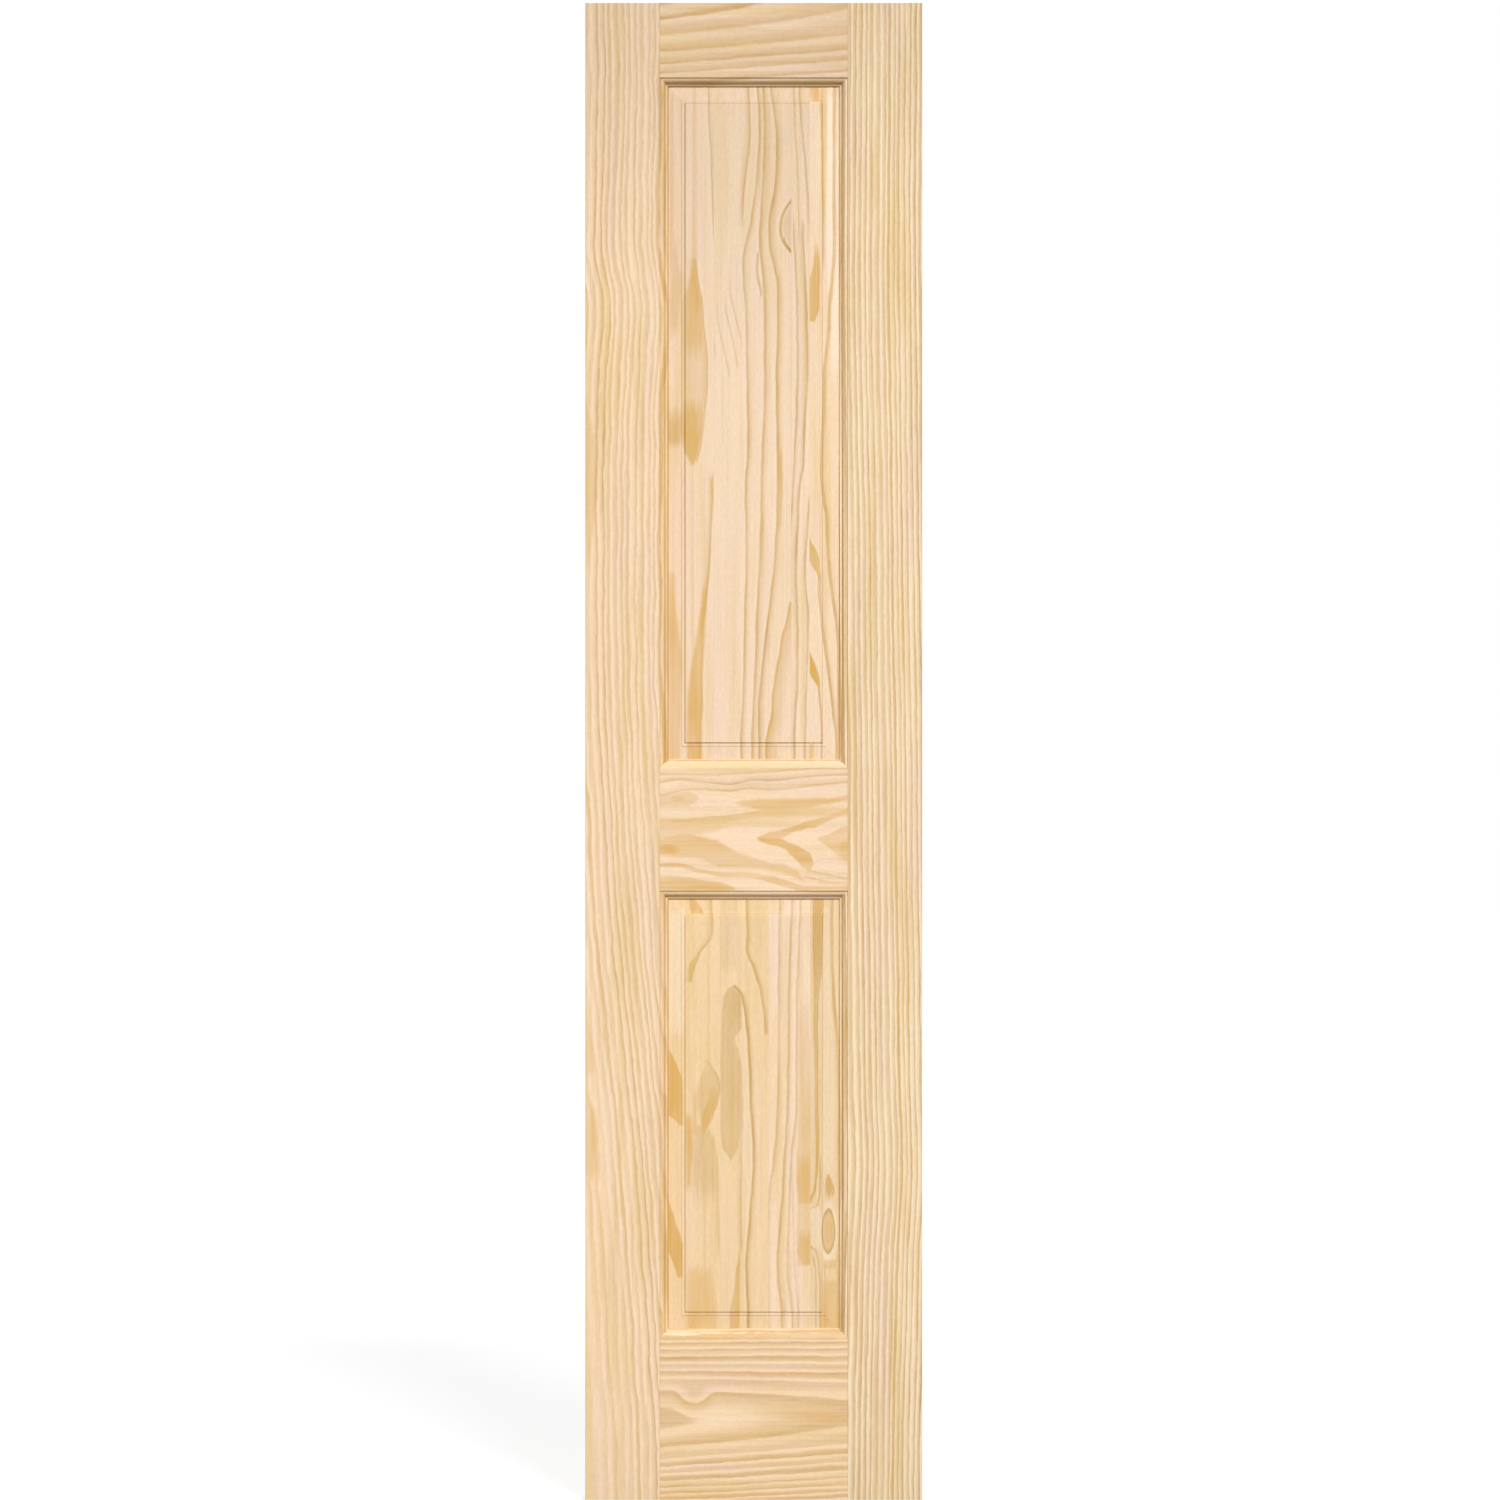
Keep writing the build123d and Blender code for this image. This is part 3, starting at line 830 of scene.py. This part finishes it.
def lower_stave_4():
    """A dark band, and the knot below it."""
    board = stave("lower_panel_stave_4", seed=13)
    # Dark band that narrows and curls into the seam above the knot
    board.band([(812, 309, 323), (760, 309, 322), (720, 310, 321), (680, 311, 317), (640, 310, 316),
                (600, 311, 316), (520, 312, 317), (470, 313, 317), (438, 312, 315), (418, 309, 312),
                (404, 303, 306)], depth=0.6, amber=0.5, rim=0.9, ends=(2, 0))
    board.line([(394, 304), (399, 314), (410, 318), (450, 319)], thick=3, depth=0.5, ends=(2, 30))
    board.line([(343, 306), (338, 312), (327, 316), (300, 318), (256, 319)], thick=3, depth=0.6, skirt=4,
               ends=(0, 3))
    board.line([(327, 309), (315, 312), (256, 313)], thick=2.6, depth=0.55, ends=(0, 6))
    board.line([(812, 335), (700, 336), (640, 341), (540, 345), (480, 344), (438, 345), (408, 346),
                (364, 346), (320, 344), (240, 343)], thick=4, depth=0.55, amber=0.3, skirt=-4)
    board.band([(800, 324, 332), (600, 323, 336), (470, 321, 337)], depth=0.0, pale=0.25, soft=3,
               ends=(60, 10))
    # Pale wood round the knot, then the knot with a cap above it and amber below
    board.band([(394, 306, 318), (380, 306, 321), (364, 306, 321), (345, 306, 318)], depth=0.0, pale=0.35,
               soft=2, ends=(8, 6))
    board.pool(331, 362, 14, 46, pale=0.5, soft=0.3, rough=0.2)
    board.pool(330, 364, 9.4, 31, fill=0.2, rim=0.75, amber=0.7, rough=0.2)
    board.band([(440, 329, 332), (435, 327, 334), (428, 326, 336), (421, 326, 338)], depth=0.55,
               amber=0.6, rim=0.5, soft=1.8, ends=(16, 3))
    board.band([(323, 324, 341), (316, 324, 341)], depth=0.12, amber=0.5, soft=2, ends=(6, 4))
    board.band([(292, 322, 341), (256, 321, 341)], depth=0.12, amber=0.5, soft=3, ends=(0, 10))
    board.line([(319, 325), (290, 325), (240, 325)], thick=2.6, depth=0.4, ends=(0, 10))
    return board.dress(early=(239, 211, 168), hollow_shade_colour=PANEL_STEP_SHADE, hollow_shade_share=0.15, rosy_share=0.2)


def dowel_beech():
    """Plain turned beech with short flecks, for the pins hidden in the joints."""
    material, shader, spot = new_material("dowel_beech")
    fleck_scale = (0.2, 1.2, 1.2)
    fleck_rise = (0.5, 0.75)
    fleck_roughness = (0.2, 0.45)
    place = spot.node("ShaderNodeVectorMath", {"operation": "MULTIPLY"}, {0: spot, 1: fleck_scale})
    fleck = place.node("ShaderNodeTexNoise", None, {"Vector": place, "Scale": 1.0, "Detail": 3.0})
    colour = mixed(smooth(fleck, *fleck_rise), screen_colour(*BEECH), screen_colour(*BEECH_FLECK))
    feed(shader, "Base Color", colour)
    feed(shader, "Roughness", stretched(fleck, *fleck_roughness))
    return material


def dress_leaf():
    """Give every node of the leaf its own wood."""
    boards = {
        "hinge_stile": hinge_stile,
        "lock_stile": lock_stile,
        "top_rail": top_rail,
        "lock_rail": lock_rail,
        "bottom_rail": bottom_rail,
        "upper_panel_stave_1": upper_stave_1,
        "upper_panel_stave_2": upper_stave_2,
        "upper_panel_stave_3": upper_stave_3,
        "upper_panel_stave_4": upper_stave_4,
        "lower_panel_stave_1": lower_stave_1,
        "lower_panel_stave_2": lower_stave_2,
        "lower_panel_stave_3": lower_stave_3,
        "lower_panel_stave_4": lower_stave_4,
    }
    beech = dowel_beech()
    for name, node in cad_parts.items():
        material = boards[name]() if name in boards else beech
        for slot in node.material_slots:
            slot.material = material


def add_camera():
    """A long lens straight in front of the leaf."""
    lens = bpy.data.cameras.new("front_camera")
    lens.sensor_width = sensor_width
    lens.lens = sensor_width * camera_distance / frame_height
    camera = bpy.data.objects.new("front_camera", lens)
    camera.location = (frame_centre_x, leaf_front - camera_distance, frame_centre_z)
    camera.rotation_euler = (math.radians(90), 0, 0)
    bpy.context.scene.collection.objects.link(camera)
    bpy.context.scene.camera = camera


def add_sun(name, strength, spread, turn, height):
    """A soft far lamp, turned from straight in front towards the lock edge and raised above the floor."""
    lamp = bpy.data.lights.new(name, "SUN")
    lamp.energy = strength
    lamp.angle = math.radians(spread)
    sun = bpy.data.objects.new(name, lamp)
    sun.rotation_euler = (math.radians(90 - height), 0, math.radians(turn))
    bpy.context.scene.collection.objects.link(sun)


def add_room():
    """An even pale room that the camera and reflections see as white."""
    world = bpy.data.worlds.new("white_room")
    world.use_nodes = True
    nodes = world.node_tree.nodes
    nodes.remove(nodes["Background"])
    seen = Value(nodes.new("ShaderNodeLightPath").outputs["Is Camera Ray"])
    for ray in (seen.beside("Is Glossy Ray"), seen.beside("Is Transmission Ray")):
        seen = larger(seen, ray)
    lighting = seen.node("ShaderNodeBackground", None, {"Color": WHITE, "Strength": room_strength})
    shown = seen.node("ShaderNodeBackground", None, {"Color": WHITE, "Strength": 1.0})
    room = seen.node("ShaderNodeMixShader", None, {0: seen, 1: lighting, 2: shown})
    feed(nodes["World Output"], "Surface", room)
    bpy.context.scene.world = world


def add_floor():
    """A white floor that is lifted to the room's white for the camera and still takes the shadow."""
    mesh = bpy.data.meshes.new("floor")
    corners = [(-floor_half, -floor_half, 0), (floor_half, -floor_half, 0),
               (floor_half, floor_half, 0), (-floor_half, floor_half, 0)]
    mesh.from_pydata(corners, [], [(0, 1, 2, 3)])
    floor = bpy.data.objects.new("floor", mesh)
    floor.location.z = leaf_low.z - floor_gap
    bpy.context.scene.collection.objects.link(floor)
    material = bpy.data.materials.new("white_floor")
    material.use_nodes = True
    shader = material.node_tree.nodes["Principled BSDF"]
    shader.inputs["Base Color"].default_value = (floor_shade, floor_shade, floor_shade, 1)
    shader.inputs["Roughness"].default_value = floor_roughness
    shader.inputs["Specular IOR Level"].default_value = 0.0
    seen = Value(material.node_tree.nodes.new("ShaderNodeLightPath").outputs["Is Camera Ray"])
    glow = seen.node("ShaderNodeCombineColor", None, {"Red": seen, "Green": seen, "Blue": seen})
    feed(shader, "Emission Color", glow)
    shader.inputs["Emission Strength"].default_value = floor_lift
    mesh.materials.append(material)


dress_leaf()
add_camera()
for lamp_name, lamp_settings in lamps.items():
    add_sun(lamp_name, *lamp_settings)
add_room()
add_floor()
bpy.context.scene.view_settings.view_transform = "Standard"
